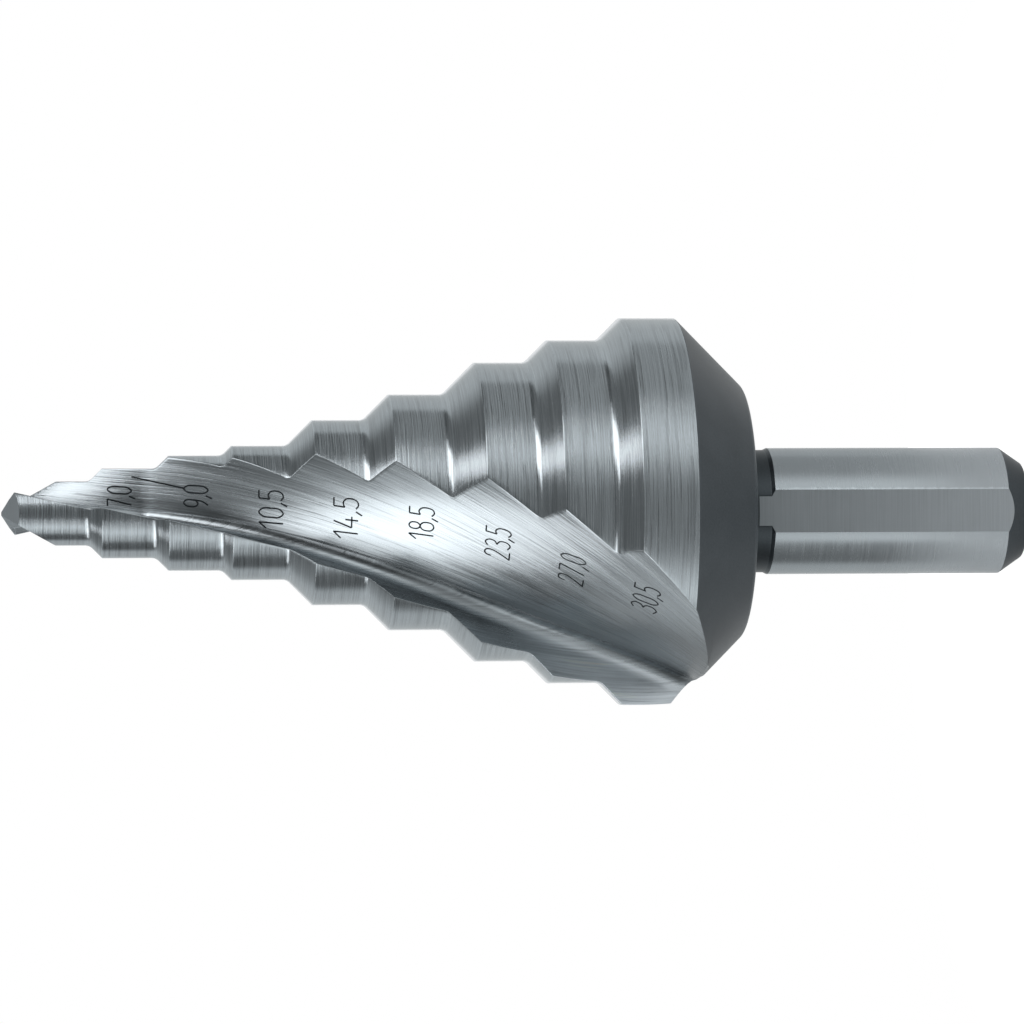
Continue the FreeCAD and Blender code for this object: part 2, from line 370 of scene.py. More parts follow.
def ring_cosine(radius, centre, reach):
    """Cosine of the angle at the axis from a circle's centre to where a ring meets it."""
    far = size_of(centre)
    return (radius * radius + far * far - reach * reach) / (2.0 * radius * far)


def between(start, end, share):
    return tuple(a + share * (b - a) for a, b in zip(start, end))


def rounded(start, corner, end, share):
    """A point on the small curve that takes a sharp corner off."""
    return between(between(start, corner, share), between(corner, end, share), share)


def turned_corners():
    """Corners of the turned blank: radius, height, rounding, and the finish that follows."""
    corners = [
        (0.0, 0.0, 0.0, "dark"),
        (END_FACE_RADIUS, 0.0, CORNER_ROUND, "dark"),
        (SHANK_RADIUS, END_CHAMFER, CORNER_ROUND, "shank"),
        (SHANK_RADIUS, SHANK_LENGTH, CORNER_ROUND, "dark"),
        (NECK_RADIUS, SHANK_LENGTH + NECK_CHAMFER, CORNER_ROUND, "dark"),
        (NECK_RADIUS, BACK_HEIGHT, CORNER_ROUND, "dark"),
        (BACK_FACE_RADIUS, BACK_HEIGHT, BACK_RIM, "dark"),
    ]
    height = BACK_HEIGHT + BACK_CONE_LENGTH
    radius = LARGEST_RADIUS
    for number, (diameter, land) in enumerate(STEPS):
        if number:
            height += radius - diameter / 2 * MM
        radius = diameter / 2 * MM
        corners.append((radius, height, STEP_FOOT if number else CORNER_ROUND, "ground"))
        height += land * MM
        if number + 1 < len(STEPS):
            corners.append((radius, height, CORNER_ROUND, "ground"))
    corners.append((radius, TIP_HEIGHT + PAST_TIP, 0.0, "ground"))
    corners.append((0.0, TIP_HEIGHT + PAST_TIP, 0.0, "ground"))
    return corners


def rounded_chain(corners):
    """The corners rounded: points of the outline with the finish that follows each."""
    chain = []
    for here, (radius, height, rounding, finish) in enumerate(corners):
        corner = Vector((radius, height))
        if rounding == 0.0:
            chain.append((corner, finish))
            continue
        before = (Vector(corners[here - 1][:2]) - corner).normalized()
        after = (Vector(corners[here + 1][:2]) - corner).normalized()
        turn = math.pi - before.angle(after)
        reach = rounding * math.tan(turn / 2)
        centre = corner + (before + after).normalized() * rounding / math.cos(turn / 2)
        first = corner + before * reach - centre
        last = corner + after * reach - centre
        sweep = first.angle_signed(last)
        parts = max(FEWEST_PARTS, math.ceil(turn / ARC_STEP))
        for part in range(parts + 1):
            turned = Matrix.Rotation(-sweep * part / parts, 2) @ first
            chain.append((centre + turned, finish if part == parts else "corner"))
    return chain


def add_column(mesh, name, kind, values):
    """Keeps a value on each point of a mesh under a name."""
    column = mesh.attributes.new(name, kind, "POINT")
    for item, value in zip(column.data, values):
        item.value = value


def turned_outline():
    """The outline as a chain of edges with one point for each ring of the drill."""
    chain = rounded_chain(turned_corners())
    points, finishes, edges_near = [], [], []
    finish_before = None
    for (start, finish), (end, _) in zip(chain, chain[1:]):
        parts = max(1, math.ceil((end - start).length / RING_GAP[finish]))
        for part in range(parts):
            points.append(start.lerp(end, part / parts))
            finishes.append(finishes[-1] if finish == "corner" else finish)
            at_corner = finish == "corner" or (part == 0 and finish_before == "corner")
            edges_near.append(float(at_corner))
        finish_before = finish
    points.append(chain[-1][0])
    mesh = bpy.data.meshes.new("turned_outline")
    edges = [(here, here + 1) for here in range(len(points) - 1)]
    mesh.from_pydata([(point.x, 0.0, point.y) for point in points], edges, [])
    add_column(mesh, "finish", "INT", [FINISHES.index(finish) for finish in finishes])
    add_column(mesh, "edge", "FLOAT", edges_near)
    return mesh


def node_of(tree, kind, settings=(), **links):
    """Adds a node. Each link or value goes to the input of that name, with _ for a space."""
    node = tree.nodes.new(kind)
    for name, setting in dict(settings).items():
        setattr(node, name, setting)
    for name, item in links.items():
        place = node.inputs[name.replace("_", " ")]
        if isinstance(item, Term):
            tree.links.new(item.socket, place)
        elif isinstance(item, bpy.types.NodeSocket):
            tree.links.new(item, place)
        else:
            place.default_value = item
    return node


def output(tree, kind, settings=(), **links):
    """Adds a node and gives its first output."""
    return node_of(tree, kind, settings, **links).outputs[0]


def split(tree, vector, axes="XYZ"):
    """The parts of a vector along the axes."""
    parts = node_of(tree, "ShaderNodeSeparateXYZ", Vector=vector)
    return [Term(tree, parts.outputs[axis]) for axis in axes]


def joined(tree, x=0.0, y=0.0, z=0.0):
    """A vector from its parts."""
    return output(tree, "ShaderNodeCombineXYZ", X=x, Y=y, Z=z)


def flute_circles(sizes, from_point, to_back):
    """The cutting face's offset from the axis, and the circles of the bend and the wall."""
    runout = (1.0 - to_back / sizes["Runout Length"]).max(0.0)
    depth = sizes["Flute Depth"] + sizes["Flute Rise"] * to_back
    depth = depth - sizes["Runout Rise"] * runout * runout
    floor = (sizes["Largest Radius"] - depth).max(sizes["Web Half"])
    offset = sizes["Rake Offset"] - sizes["Rake Taper"] * to_back
    wall = sizes["Wall Radius"]
    tilt = sizes["Wall Tilt"]
    wall_centre = (floor - wall * tilt.cos(), wall * tilt.sin() - offset)
    reach = sizes["Bend Reach"]
    whole = sizes["Tip Height"] - sizes["Back Height"] + 2 * reach
    share = (from_point + reach) / whole
    small, large = sizes["Bend Radius Point"], sizes["Bend Radius Back"]
    bend = small + share * (large - small)
    bend_y = bend - offset
    across = wall + bend
    rise = bend_y - wall_centre[1]
    bend_centre = (wall_centre[0] + (across * across - rise * rise).root(), bend_y)
    return SimpleNamespace(
        offset=offset, bend=bend, bend_centre=bend_centre, wall=wall, wall_centre=wall_centre,
        face_start=(bend_centre[0], -offset), wall_start=heading(wall_centre, bend_centre),
    )


def ring_meetings(sizes, radius, flute):
    """Where the ring of this radius meets the cutting face, the bend and the wall."""
    wall_first = on_circle(flute.wall_centre, flute.wall, flute.wall_start)
    face_inside = radius > size_of(flute.face_start)
    bend_inside = radius > size_of(wall_first)
    facing = direction_of(flute.wall_centre)
    facing = facing + pick(facing > 0.0, 0.0, 2 * math.pi)
    meeting = ring_cosine(radius, flute.wall_centre, flute.wall)
    # on rings behind the flute's end the points keep their places, flush with the cone
    flush = meeting < -1.0
    spread = meeting.max(-1.0).arccos() - flush * sizes["Exit Half Angle"]
    heel_turn = facing - spread
    low = on_circle(AXIS, radius, facing + spread)
    bend_spread = ring_cosine(radius, flute.bend_centre, flute.bend).arccos()
    on_bend = on_circle(AXIS, radius, direction_of(flute.bend_centre) - bend_spread)
    on_face = ((radius * radius - flute.offset * flute.offset).max(0.0).root(), -flute.offset)
    lip = pick(face_inside, on_face, pick(bend_inside, on_bend, low))
    return SimpleNamespace(
        face_inside=face_inside, bend_inside=bend_inside, flush=flush, low=low, lip=lip,
        on_face=on_face, on_bend=on_bend, lip_turn=direction_of(lip), heel_turn=heel_turn,
        heel=on_circle(AXIS, radius, heel_turn),
    )


def patch_shares(column):
    """How far along each patch of the section a column lies, and which it has reached."""
    shares, reached = {}, {}
    first = 0
    for name, count in PATCHES.items():
        shares[name] = ((column - float(first)) / float(count)).clamp()
        reached[name] = column > first + 0.5
        first += count
    return shares, reached


def valley_shade(sizes, to_back, shares, reached, up_wall, out_face):
    """How dark the painted shade along the bottom of the flute is, and below 0 where the cutting
    face is coarser and lightened as painted light.

    up_wall and out_face are the point's distances from the bottom."""
    off_spot = (to_back - sizes["Valley Spot"]) / sizes["Spot Reach"]
    spot = (1.0 - off_spot * off_spot).max(0.0)
    upper = ((to_back - sizes["Valley Break"]) / sizes["Valley Fade"]).clamp()
    wide = sizes["Valley Width"] * (1.0 + sizes["Spot Gain"] * spot + sizes["Break Gain"] * upper)
    runout = (sizes["Runout Start"] - to_back).max(0.0)
    wide = wide + sizes["Runout Shade"] * runout
    face_shade = (sizes["Face Shade"] - runout / sizes["Face Fade"]).max(0.0)
    on_face = 1.0 - face_shade * (1.0 - out_face / sizes["Face Width"]).max(0.0)
    in_bend = sizes["Valley In Bend"] * (1.0 - shares["bend"])
    away = pick(reached["wall"], up_wall / wide, pick(reached["bend"], in_bend, on_face))
    near_tip = ((to_back - sizes["Valley End"]) / sizes["Valley Fade"]).clamp()
    dark = (1.0 - away).max(0.0) * (1.0 - near_tip)
    dark = dark * (1.0 + (runout / sizes["Runout Fade"] - sizes["Runout Delay"]).max(0.0))
    # the coarser stretch of the cutting face: rougher, and lightened as painted light
    off_middle = (to_back - sizes["Coarse Middle"]) / sizes["Coarse Reach"]
    coarse = (1.0 - off_middle * off_middle).max(0.0)
    return dark - (1.0 - reached["wall"]) * (1.0 - shares["bend"]) * coarse


def flute_section(sizes, radius, height, column):
    """Where one point of half a cross-section lies, how far it is turned, and its marks.

    The cutting face runs along the section's own +X. A bend joins it to the wide wall."""
    from_point = sizes["Tip Height"] - height
    to_back = (height - sizes["Back Height"]).max(0.0)
    flute = flute_circles(sizes, from_point, to_back)
    ring = ring_meetings(sizes, radius, flute)
    shares, reached = patch_shares(column)

    # small rounds take the lip and the heel off where there is room
    edge = sizes["Edge Round"]
    face_room = LIP_EDGE_SHARE * (ring.on_face[0] - flute.face_start[0])
    lip_edge = edge.min(face_room).max(0.0) * ring.face_inside
    heel_room = HEEL_EDGE_SHARE * radius * (ring.heel_turn - ring.lip_turn)
    heel_edge = edge.min(heel_room).max(0.0)

    face_outer = (ring.lip[0] - lip_edge, ring.lip[1])
    face_inner = pick(ring.face_inside, flute.face_start, ring.lip)
    bend_first = heading(flute.bend_centre, ring.on_bend) + 2 * math.pi
    bend_first = pick(ring.face_inside, DOWN, bend_first)
    bend_last = flute.wall_start + math.pi
    bend_turn = bend_first + shares["bend"] * (bend_last - bend_first)
    wall_end = heading(flute.wall_centre, ring.heel)
    wall_from = flute.wall_start.max(heading(flute.wall_centre, ring.low)).min(wall_end)
    wall_to = wall_end - heel_edge / flute.wall
    wall_turn = wall_from + shares["wall"] * (wall_to - wall_from)
    land_first = ring.heel_turn + heel_edge / radius
    land_last = ring.lip_turn + 2 * math.pi / FLUTE_COUNT - lip_edge / radius
    land_turn = land_first + shares["land"] * (land_last - land_first)
    patches = {
        "lip": rounded(
            on_circle(AXIS, radius, ring.lip_turn - lip_edge / radius), ring.lip, face_outer,
            shares["lip"],
        ),
        "face": between(face_outer, face_inner, shares["face"]),
        "bend": pick(
            ring.bend_inside, on_circle(flute.bend_centre, flute.bend, bend_turn), ring.low
        ),
        "wall": on_circle(flute.wall_centre, flute.wall, wall_turn),
        "heel": rounded(
            on_circle(flute.wall_centre, flute.wall, wall_to), ring.heel,
            on_circle(AXIS, radius, land_first), shares["heel"],
        ),
        "land": on_circle(AXIS, radius, land_turn),
    }
    place = patches.pop("lip")
    for name, point in patches.items():
        place = pick(reached[name], point, place)

    # nothing stands out past the ring
    held = (radius / size_of(place).max(LEAST_RADIUS)).min(1.0)
    place = (place[0] * held, place[1] * held)
    near_point = (1.0 - from_point / sizes["Point Turn Length"]).max(0.0)
    turn = math.pi + 2 * math.pi * to_back / sizes["Lead"]
    turn = turn + sizes["Point Turn"] * near_point * near_point
    at_edge = (shares["lip"] < 1.0) + reached["heel"] * (1.0 - (shares["land"] > 0.0))
    at_edge = at_edge + (shares["land"] > NEARLY_ALL)
    up_wall = (wall_turn - wall_from).max(0.0) * flute.wall
    out_face = (place[0] - flute.face_start[0]).max(0.0)
    return SimpleNamespace(
        place=place, turn=turn, at_edge=at_edge, flush=ring.flush,
        across=pick(reached["wall"], wall_turn * flute.wall, place[0]),
        valley=valley_shade(sizes, to_back, shares, reached, up_wall, out_face),
    )


def new_tree(name, inputs, result):
    """A Geometry Nodes tree with named inputs of the given kinds and one result."""
    tree = bpy.data.node_groups.new(name, "GeometryNodeTree")
    for label, kind in inputs.items():
        tree.interface.new_socket(name=label, in_out="INPUT", socket_type="NodeSocket" + kind)
    tree.interface.new_socket(name=result, in_out="OUTPUT", socket_type="NodeSocketGeometry")
    return tree, tree.nodes.new("NodeGroupInput").outputs


def stored(tree, shape, kind, domain, name, value):
    """The shape with a value kept on its points or faces under a name."""
    return output(
        tree, "GeometryNodeStoreNamedAttribute", {"data_type": kind, "domain": domain},
        Geometry=shape, Name=name, Value=value,
    )


def named(tree, kind, name):
    """What is kept under a name."""
    return output(tree, "GeometryNodeInputNamedAttribute", {"data_type": kind}, Name=name)


def sampled(tree, kind, shape, value, index):
    """A value as it is at one point of another shape."""
    return output(
        tree, "GeometryNodeSampleIndex", {"data_type": kind},
        Geometry=shape, Value=value, Index=index,
    )


def row_and_place(index, length):
    """Which row of a grid an index is in, and its place in that row."""
    row = ((index + 0.5) / float(length)).floor()
    return row, index - row * float(length)


def drill_tree(materials):
    """Sweeps the turned outline round the axis with its flutes ground in."""
    tree, inputs = new_tree(
        "fluted_drill",
        {"Outline": "Geometry", **dict.fromkeys(FLUTE_SIZES, "Float"), "Flute Count": "Int"},
        "Drill",
    )
    sizes = {name: Term(tree, inputs[name]) for name in FLUTE_SIZES}
    outline = inputs["Outline"]

    # a grid with a row of points for each ring is bent into half of the drill
    columns = sum(PATCHES.values()) + 1
    rings = output(tree, "GeometryNodeAttributeDomainSize", Geometry=outline)
    grid = output(tree, "GeometryNodeMeshGrid", Vertices_X=rings, Vertices_Y=columns)
    index = Term(tree, output(tree, "GeometryNodeInputIndex"))
    ring, column = row_and_place(index, columns)
    position = output(tree, "GeometryNodeInputPosition")
    radius, height = split(tree, sampled(tree, "FLOAT_VECTOR", outline, position, ring), "XZ")
    point = flute_section(sizes, radius.max(LEAST_RADIUS), height, column)
    x = point.place[0] * point.turn.cos() - point.place[1] * point.turn.sin()
    y = point.place[0] * point.turn.sin() + point.place[1] * point.turn.cos()
    spot = joined(tree, x, y, height)
    shape = output(tree, "GeometryNodeSetPosition", Geometry=grid, Position=spot)
    grain = joined(tree, point.across, height)
    shape = stored(tree, shape, "FLOAT_VECTOR", "POINT", "grain", grain)
    ring_edge = Term(tree, sampled(tree, "FLOAT", outline, named(tree, "FLOAT", "edge"), ring))
    # the valley mark holds painted shade along the flute's bottom, and painted light where it is
    # below 0
    marks = {
        "edge": point.at_edge.max(ring_edge), "valley": point.valley, "flush": point.flush
    }
    for name, value in marks.items():
        shape = stored(tree, shape, "FLOAT", "POINT", name, value)

    # faces know their finish: the outline's own on a land and behind the flutes, where all
    # points are flush, and the flute's elsewhere
    face_ring, face_column = row_and_place(index, columns - 1)
    finish = sampled(tree, "INT", outline, named(tree, "INT", "finish"), face_ring)
    land_column = columns - 1 - PATCHES["land"]
    all_flush = Term(tree, named(tree, "FLOAT", "flush")) > NEARLY_ALL
    own_finish = (face_column > land_column - 0.5).max(all_flush)
    kind = pick(own_finish, Term(tree, finish), float(len(FINISHES)))
    shape = stored(tree, shape, "INT", "FACE", "kind", kind)

    # the same again round the axis, with the faces turned outwards
    shape = output(tree, "GeometryNodeFlipFaces", Mesh=shape)
    spots = output(tree, "GeometryNodePoints", Count=inputs["Flute Count"])
    swing = index * (2 * math.pi) / Term(tree, inputs["Flute Count"])
    shape = output(
        tree, "GeometryNodeInstanceOnPoints", Points=spots, Instance=shape,
        Rotation=joined(tree, z=swing),
    )
    shape = output(tree, "GeometryNodeRealizeInstances", Geometry=shape)
    shape = output(tree, "GeometryNodeMergeByDistance", Geometry=shape, Distance=CLOSE)
    kind = named(tree, "INT", "kind")
    for number, material in enumerate(materials):
        chosen = output(
            tree, "FunctionNodeCompare", {"data_type": "INT", "operation": "EQUAL"},
            A=kind, B=number,
        )
        shape = output(
            tree, "GeometryNodeSetMaterial", Geometry=shape, Selection=chosen, Material=material
        )
    node_of(tree, "NodeGroupOutput", Drill=shape)
    return tree


def plain(item):
    """Takes an object's modifiers into its mesh, and drops an empty first material."""
    depsgraph = bpy.context.evaluated_depsgraph_get()
    made = bpy.data.meshes.new_from_object(item.evaluated_get(depsgraph))
    item.modifiers.clear()
    item.data = made
    made.name = item.name
    if made.materials and made.materials[0] is None:
        numbers = [face.material_index - 1 for face in made.polygons]
        made.materials.pop(index=0)
        made.polygons.foreach_set("material_index", numbers)
    return item


def add_object(name, data):
    item = bpy.data.objects.new(name, data)
    bpy.context.scene.collection.objects.link(item)
    return item


def grow(name, mesh, tree, values):
    """Runs a node tree on a mesh and gives back a plain object with the result."""
    item = add_object(name, mesh)
    modifier = item.modifiers.new("tree", "NODES")
    modifier.node_group = tree
    for socket in tree.interface.items_tree:
        if socket.in_out == "INPUT" and socket.name in values:
            modifier[socket.identifier] = values[socket.name]
    bpy.context.view_layer.update()
    return plain(item)


def ramp(term, low, high):
    """0 below low, 1 above high and a smooth rise between."""
    node = node_of(
        term.tree, "ShaderNodeMapRange", {"interpolation_type": "SMOOTHSTEP"}, Value=term,
        From_Min=low, From_Max=high,
    )
    return Term(term.tree, node.outputs["Result"])


def crisp(noise):
    """Noise with its middle values spread over the whole of 0 to 1."""
    return ((noise - CRISP_START) * CRISP_GAIN).clamp()


class Look:
    """A steel's material under construction.

    Patterns are numbers between 0 and 1. Tone, roughness and relief are each a plain level
    to which patterns are added by their weights."""

    def __init__(self, name, steel):
        self.steel = steel
        self.patterns = {}
        self.material = bpy.data.materials.new(name)
        self.material.use_nodes = True
        self.tree = self.material.node_tree
        self.shader = self.tree.nodes["Principled BSDF"]
        self.shader.inputs["Metallic"].default_value = 1.0
        spot = self.tree.nodes.new("ShaderNodeTexCoord").outputs["Object"]
        self.x, self.y, self.z = split(self.tree, spot)

    def noise(self, x, y, z, detail=2.0):
        """Noise between 0 and 1 at a place in a space of its own."""
        node = node_of(
            self.tree, "ShaderNodeTexNoise", Vector=joined(self.tree, x, y, z), Scale=1.0,
            Detail=detail,
        )
        return Term(self.tree, node.outputs["Fac"])

    def stretched(self, x, y, z, detail=2.0):
        """Noise on the object with its size along each axis."""
        return self.noise(self.x / x, self.y / y, self.z / z, detail)

    def turned_lines(self, pitch, length):
        """Fine lines that run round the axis."""
        return crisp(self.stretched(length, length, pitch, FINE_DETAIL))

    def spots(self, size):
        return self.stretched(size, size, size, FINE_DETAIL)

    def kept(self, name):
        """What the drill's own tree keeps under a name."""
        return node_of(self.tree, "ShaderNodeAttribute", {"attribute_name": name}).outputs

    def rubbed(self, chips, least):
        """1 along edges that are rubbed bright, broken up by chips."""
        edge = Term(self.tree, self.kept("edge")["Fac"])
        return ramp(edge * (least + 2 * (1 - least) * chips), least + 0.1, 1.0)

    def grazing(self):
        """0 where the surface faces the eye and 1 where it is seen from the side."""
        return Term(self.tree, self.tree.nodes.new("ShaderNodeLayerWeight").outputs["Facing"])

    def feed(self, name, socket):
        self.tree.links.new(socket, self.shader.inputs[name])

    def mixed(self, plain, weights):
        for name, weight in weights.items():
            plain = plain + weight * self.patterns[name]
        return plain

    def tone(self, plain, shade=1.0, **weights):
        """How light the steel's colour is, all of it times the shade."""
        share = self.mixed(plain, weights) * shade
        red, green, blue = (share * level for level in self.steel)
        mixed = output(self.tree, "ShaderNodeCombineColor", Red=red, Green=green, Blue=blue)
        self.feed("Base Color", mixed)

    def roughness(self, plain, **weights):
        self.feed("Roughness", self.mixed(plain, weights).clamp().socket)

    def relief(self, **weights):
        """Bump, with weights in metres."""
        height = self.mixed(0.0, weights)
        bump = output(self.tree, "ShaderNodeBump", Height=height, Distance=1.0, Strength=1.0)
        self.feed("Normal", bump)

    def brushed(self, stretch, direction=None):
        """Gloss that spreads across the lines. They run round the axis or in a direction."""
        self.shader.inputs["Anisotropic"].default_value = stretch
        self.shader.inputs["Anisotropic Rotation"].default_value = QUARTER_TURN
        if direction is None:
            round_axis = {"direction_type": "RADIAL", "axis": "Z"}
            line = output(self.tree, "ShaderNodeTangent", round_axis)
        else:
            line = joined(self.tree, *direction)
        self.feed("Tangent", line)


def dark_look():
    """Back cone, neck and end: blackened, with a fine matt grain."""
    look = Look("dark", DARK_STEEL)
    grain = look.spots(0.14 * MM)
    cloud = look.spots(3 * MM)
    look.patterns = {"grain": grain, "cloud": cloud, "worn": look.rubbed(grain, least=0.6)}
    look.tone(0.8, grain=0.58, cloud=0.36, worn=0.3)
    look.roughness(0.28, grain=0.14)
    look.relief(grain=4 * MICRON)
    return look.material


def shank_look():
    """Round of the shank: satin, with one edge along each flat rubbed bright."""
    look = Look("shank", BRIGHT_STEEL)
    swing = (look.y.apply("ARCTAN2", look.x) + 0.5 * math.pi) * float(FLAT_COUNT)
    one_side = ramp(swing.sin(), 0.0, 0.3)
    chips = look.stretched(2 * MM, 2 * MM, 0.35 * MM, FINE_DETAIL)
    look.patterns = {
        "lines": look.turned_lines(pitch=0.12 * MM, length=5 * MM),
        "cloud": look.spots(2.5 * MM),
        "worn": ramp(swing.cos() + 0.2 * chips, 0.5, 0.62) * one_side,
    }
    look.tone(0.77, lines=0.06, cloud=0.14, worn=0.3)
    look.roughness(0.18, lines=0.06, cloud=0.08)
    look.relief(lines=1.2 * MICRON)
    look.brushed(0.5)
    return look.material


def ground_look():
    """Lands and chamfers: ground round the axis, with fine lines and a few deeper ones.

    Seen from the side the lines blend into one grey."""
    look = Look("ground", BRIGHT_STEEL)
    lines = look.turned_lines(pitch=0.09 * MM, length=7 * MM)
    deep = ramp(look.turned_lines(pitch=0.3 * MM, length=9 * MM), 0.56, 0.75)
    seen = 1.0 - 0.7 * ramp(look.grazing(), 0.6, 0.85)
    look.patterns = {
        "lines": 0.5 + (lines - 0.5) * seen,
        "deep": deep,
        "deep_seen": deep * seen,
        "cloud": look.spots(1.8 * MM),
        "worn": look.rubbed(look.spots(0.4 * MM), least=0.7),
    }
    look.tone(0.8, lines=0.24, deep_seen=-0.12, cloud=0.14, worn=0.12)
    look.roughness(0.14, lines=0.09, cloud=0.08)
    look.relief(lines=4 * MICRON, deep=-3.5 * MICRON)
    look.brushed(0.6)
    return look.material


def flute_look():
    """Flutes: ground lengthwise, with long streaks that follow the spiral.

    The bottom of the flute is darkened as painted shade, and part of the cutting face is ground
    coarser and lightened as painted light."""
    look = Look("flute", BRIGHT_STEEL)
    across, along = split(look.tree, look.kept("grain")["Vector"], "XY")
    valley = Term(look.tree, look.kept("valley")["Fac"])
    streaks = look.noise(across / (0.14 * MM), along / (8 * MM), 0.0, FINE_DETAIL)
    bands = look.noise(across / (0.9 * MM), along / (24 * MM), 3.0)
    deep = look.noise(across / (0.2 * MM), along / (6 * MM), 7.0)
    look.patterns = {
        "streaks": crisp(streaks),
        "deep": ramp(deep, 0.55, 0.7),
        "bands": crisp(bands),
        "cloud": look.spots(2.5 * MM),
        "bottom": ramp(valley, 0.0, 1.0),
        "coarse": (-valley).max(0.0),
    }
    # painted shade along the bottom of the flute, and painted light on the coarser stretch of the
    # cutting face
    worn = look.mixed(1.0, {"bottom": -0.52, "coarse": 0.7})
    look.tone(0.7, worn, streaks=0.26, deep=-0.18, bands=0.2, cloud=0.1)
    look.roughness(0.16, streaks=0.08, bands=0.08, coarse=0.22)
    look.relief(streaks=5 * MICRON, deep=-6 * MICRON, bands=14 * MICRON)
    twist = 2 * math.pi / FLUTE_SIZES["Lead"]
    look.brushed(0.6, (-look.y * twist, look.x * twist, 1.0))
    return look.material


def flat_look():
    """Flats of the shank: ground straight across."""
    look = Look("flat", BRIGHT_STEEL)
    lines = look.stretched(6 * MM, 6 * MM, 0.1 * MM)
    look.patterns = {"lines": lines, "cloud": look.spots(2 * MM)}
    look.tone(0.63, lines=0.25, cloud=0.08)
    look.roughness(0.34, lines=0.1)
    look.relief(lines=2.5 * MICRON)
    return look.material


def point_look():
    """Facets and gashes of the split point: ground in straight, fine strokes."""
    look = Look("point", BRIGHT_STEEL)
    look.patterns = {"lines": look.stretched(4 * MM, 0.08 * MM, 0.08 * MM)}
    look.tone(0.9, lines=0.4)
    look.roughness(0.38, lines=0.1)
    look.relief(lines=2 * MICRON)
    return look.material


def mark_look():
    """Etched strokes of the size numbers."""
    look = Look("size_mark", DARK_STEEL)
    look.patterns = {"grain": look.spots(0.05 * MM)}
    look.tone(0.3, grain=0.5)
    look.roughness(0.5, grain=0.2)
    look.relief(grain=4 * MICRON)
    return look.material


DARK = dark_look()
SHANK = shank_look()
GROUND = ground_look()
FLUTE = flute_look()
FLAT = flat_look()
POINT = point_look()
MARK = mark_look()


def solid(name, low, high, material, turn=0.0):
    """A closed solid between two rings of corners that match one for one."""
    count = len(low)
    faces = [tuple(reversed(range(count))), tuple(range(count, 2 * count))]
    for here in range(count):
        after = (here + 1) % count
        faces.append((here, after, count + after, count + here))
    mesh = bpy.data.meshes.new(name)
    mesh.from_pydata([tuple(corner) for corner in (*low, *high)], [], faces)
    mesh.transform(Matrix.Rotation(turn, 4, "Z"))
    mesh.materials.append(material)
    shape = bmesh.new()
    shape.from_mesh(mesh)
    bmesh.ops.recalc_face_normals(shape, faces=shape.faces)
    shape.to_mesh(mesh)
    shape.free()
    return add_object(name, mesh)


def flat_cutters():
    """One block for each flat of the shank. Each leaves a plane along the shank."""
    side = SHANK_RADIUS + PAST
    ring = [(-side, -FLAT_DISTANCE), (-side, -side), (side, -side), (side, -FLAT_DISTANCE)]
    low = [(x, y, -PAST) for x, y in ring]
    high = [(x, y, SHANK_LENGTH + FLAT_RUNOUT) for x, y in ring]
    return [
        solid(f"flat{number}", low, high, FLAT, 2 * math.pi * number / FLAT_COUNT)
        for number in range(FLAT_COUNT)
    ]


def point_cutters():
    """What is ground off above the two end facets, and behind each lip to split the point."""
    side = STEPS[-1][0] / 2 * MM + PAST
    drop = side * math.tan(POINT_SLOPE)
    ridge = [
        (0, TIP_HEIGHT), (-side, TIP_HEIGHT - drop), (-side, TIP_HEIGHT + PAST),
        (side, TIP_HEIGHT + PAST), (side, TIP_HEIGHT - drop),
    ]
    low, high = ([(x, y, z) for y, z in ridge] for x in (-side, side))
    cutters = [solid("facets", low, high, POINT)]
    run = side - CHISEL_HALF
    ring = [
        (-CHISEL_HALF, 0), (-side, run * math.tan(GASH_TURN)), (-side, -side), (-CHISEL_HALF, -side)
    ]
    low = [(x, y, TIP_HEIGHT + (x + CHISEL_HALF) / math.tan(GASH_ANGLE)) for x, y in ring]
    high = [(x, y, TIP_HEIGHT + PAST) for x, y in ring]
    for number in range(FLUTE_COUNT):
        turn = 2 * math.pi * number / FLUTE_COUNT
        cutters.append(solid(f"gash{number}", low, high, POINT, turn))
    return cutters


def cut(item, cutters):
    for cutter in cutters:
        modifier = item.modifiers.new(cutter.name, "BOOLEAN")
        modifier.object = cutter
        modifier.operation = "DIFFERENCE"
        modifier.solver = "MANIFOLD"
        modifier.material_mode = "TRANSFER"
    bpy.context.view_layer.update()
    plain(item)
    for cutter in cutters:
        bpy.data.objects.remove(cutter)


def smooth(item, sharp):
    """Smooth surfaces that meet in crisp edges."""
    item.data.shade_smooth()
    item.data.set_sharp_from_angle(angle=sharp)
    modifier = item.modifiers.new("normals", "WEIGHTED_NORMAL")
    modifier.keep_sharp = True
    modifier.weight = NORMAL_WEIGHT
    plain(item)


def true_cone(item, material):
    """Gives the back cone the normals of a true cone, however its faces are skewed."""
    mesh = item.data
    dark = list(mesh.materials).index(material)
    normals = [Vector(corner.vector) for corner in mesh.corner_normals]
    top = BACK_HEIGHT + BACK_CONE_LENGTH
    dark_faces = [face for face in mesh.polygons if face.material_index == dark]
    for corner in (corner for face in dark_faces for corner in face.loop_indices):
        spot = mesh.vertices[mesh.loops[corner].vertex_index].co
        around = spot.xy.length
        if abs(LARGEST_RADIUS - (top - spot.z) - around) < CLOSE:
            normals[corner] = Vector((spot.x / around, spot.y / around, -1.0)).normalized()
    mesh.normals_split_custom_set(normals)


drill = grow(
    "drill_body", turned_outline(), drill_tree([DARK, SHANK, GROUND, FLUTE]),
    {**FLUTE_SIZES, "Flute Count": FLUTE_COUNT},
)
cut(drill, point_cutters() + flat_cutters())
smooth(drill, BODY_SHARP)
true_cone(drill, DARK)
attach(drill, "root")
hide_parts("step_drill")


